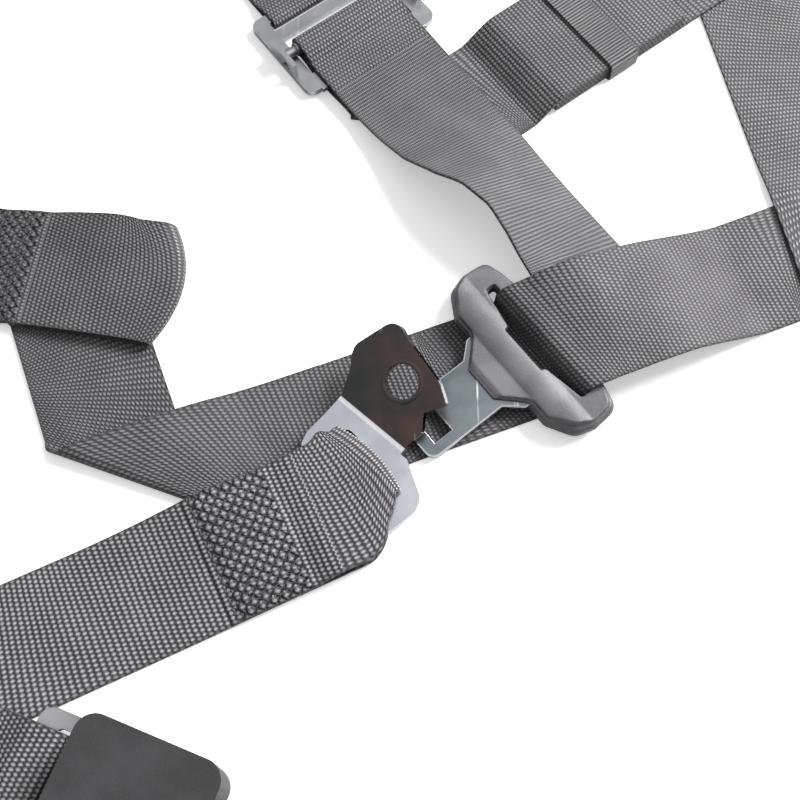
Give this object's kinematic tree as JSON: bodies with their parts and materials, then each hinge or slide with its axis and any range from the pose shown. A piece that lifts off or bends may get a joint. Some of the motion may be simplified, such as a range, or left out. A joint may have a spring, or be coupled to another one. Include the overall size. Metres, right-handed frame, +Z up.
{
  "type": "racing harness",
  "caption": "Webbing harness laid out: sliding latch tongue, push-button buckle, two slide-bar adjusters and four bent bolt-on anchor plates on sewn loops.",
  "frame": {"origin": "on the table under the lap run of webbing, beside the anchor plate at the middle of the laid-out harness", "axes": "+Z up from the table, +X towards the tongue end of the lap run, +Y towards the shoulder and rear straps"},
  "size_m": [0.5219, 0.5366, 0.0258],
  "materials": {
    "webbing": "woven polyester",
    "elastic": "ribbed elastic",
    "plate": "bright plated steel",
    "blade": "satin plated steel",
    "cover": "fine grained",
    "shell": "fine grained",
    "button": "smooth red",
    "inner_steel": "zinc plated",
    "adjuster": "satin plated steel",
    "spring": "bright wire",
    "ejector": "acetal"
  },
  "bodies": {
    "webbing": {"tongue_strap_loop": "webbing", "tongue_strap_lap": "webbing", "tongue_strap_belt": "webbing", "tongue_strap_rise": "webbing", "tongue_strap_shoulder": "webbing", "tongue_strap_folds": "webbing", "tongue_strap_tail": "webbing", "buckle_strap_loop": "webbing", "buckle_strap_lap": "webbing", "buckle_strap_corner": "webbing", "buckle_strap_belt": "webbing", "buckle_strap_folds": "webbing", "buckle_strap_shoulder": "webbing", "buckle_strap_tail": "webbing", "rear_strap_a_end": "webbing", "rear_strap_a": "webbing", "rear_strap_a_folds": "webbing", "rear_strap_a_loop": "webbing", "rear_strap_b_end": "webbing", "rear_strap_b": "webbing", "rear_strap_b_folds": "webbing", "rear_strap_b_loop": "webbing", "buckle_frame": "inner_steel", "buckle_cover_base": "shell", "buckle_cover_top": "shell", "buckle_button_springs": "spring", "buckle_latch_pin": "inner_steel", "buckle_latch_spring": "spring", "buckle_ejector_spring": "spring", "adjuster_a_frame": "adjuster", "adjuster_b_frame": "adjuster", "keeper_tongue_strap": "elastic", "keeper_buckle_strap": "elastic", "keeper_rear_strap_a": "elastic", "keeper_rear_strap_b": "elastic"},
    "lap_buckle_side_anchor": {"lap_plate_buckle_side": "plate"},
    "lap_tongue_side_anchor": {"lap_plate_tongue_side": "plate"},
    "rear_a_anchor": {"rear_plate_a": "plate"},
    "rear_b_anchor": {"rear_plate_b": "plate"},
    "tongue": {"tongue_blade": "blade", "tongue_cover": "cover"},
    "button": {"buckle_button": "button"},
    "latch": {"buckle_latch": "inner_steel"},
    "ejector": {"buckle_ejector": "ejector"},
    "slide_bar_a": {"adjuster_a_bar": "adjuster"},
    "slide_bar_b": {"adjuster_b_bar": "adjuster"}
  },
  "joints": [
    {"name": "lap_plate_buckle_side_hinge", "type": "hinge", "parent": "webbing", "child": "lap_buckle_side_anchor", "pos_m": [-0.02075, -0.03615, 0.0031], "axis": [0.6947, -0.7193, 0], "range_deg": [0, 60], "deforming": ["buckle_strap_loop"]},
    {"name": "lap_plate_tongue_side_hinge", "type": "hinge", "parent": "webbing", "child": "lap_tongue_side_anchor", "pos_m": [-0.18242, 0.0552, 0.0015], "axis": [-0.1726, 0.985, 0], "range_deg": [0, 60], "deforming": ["tongue_strap_loop"]},
    {"name": "rear_plate_a_hinge", "type": "hinge", "parent": "webbing", "child": "rear_a_anchor", "pos_m": [-0.21656, 0.17907, 0.0015], "axis": [-0.6939, 0.7201, 0], "range_deg": [0, 60], "deforming": ["rear_strap_a_loop"]},
    {"name": "rear_plate_b_hinge", "type": "hinge", "parent": "webbing", "child": "rear_b_anchor", "pos_m": [0.24198, -0.12652, 0.0015], "axis": [0.9986, -0.0534, 0], "range_deg": [0, 60], "deforming": ["rear_strap_b_loop"]},
    {"name": "tongue_slide", "type": "slide", "parent": "webbing", "child": "tongue", "axis": [0.9304, 0.3665, 0], "range_m": [0, 0.028], "deforming": ["tongue_strap_rise", "tongue_strap_tail"]},
    {"name": "button_press", "type": "slide", "parent": "webbing", "child": "button", "axis": [-0.9272, 0.3746, 0], "range_m": [0, 0.005], "stiffness_N_per_m": 900, "springref_m": -0.002, "deforming": ["buckle_button_springs"]},
    {"name": "latch_lift", "type": "hinge", "parent": "webbing", "child": "latch", "pos_m": [-0.10403, -0.14741, 0.0145], "axis": [-0.3746, -0.9272, 0], "range_deg": [0, 10], "deforming": ["buckle_latch_spring"]},
    {"name": "ejector_slide", "type": "slide", "parent": "webbing", "child": "ejector", "axis": [-0.9272, 0.3746, 0], "range_m": [0, 0.012], "stiffness_N_per_m": 250, "springref_m": -0.004, "deforming": ["buckle_ejector_spring"]},
    {"name": "slide_bar_a_travel", "type": "slide", "parent": "webbing", "child": "slide_bar_a", "axis": [0.6018, -0.7986, 0], "range_m": [0, 0.004], "deforming": ["tongue_strap_tail"]},
    {"name": "slide_bar_b_travel", "type": "slide", "parent": "webbing", "child": "slide_bar_b", "axis": [-0.9272, 0.3746, 0], "range_m": [0, 0.004], "deforming": ["buckle_strap_tail"]}
  ],
  "couplings": [
    {"joint": "latch_lift", "follows": "button_press", "rad_per_m": 34.9}
  ]
}
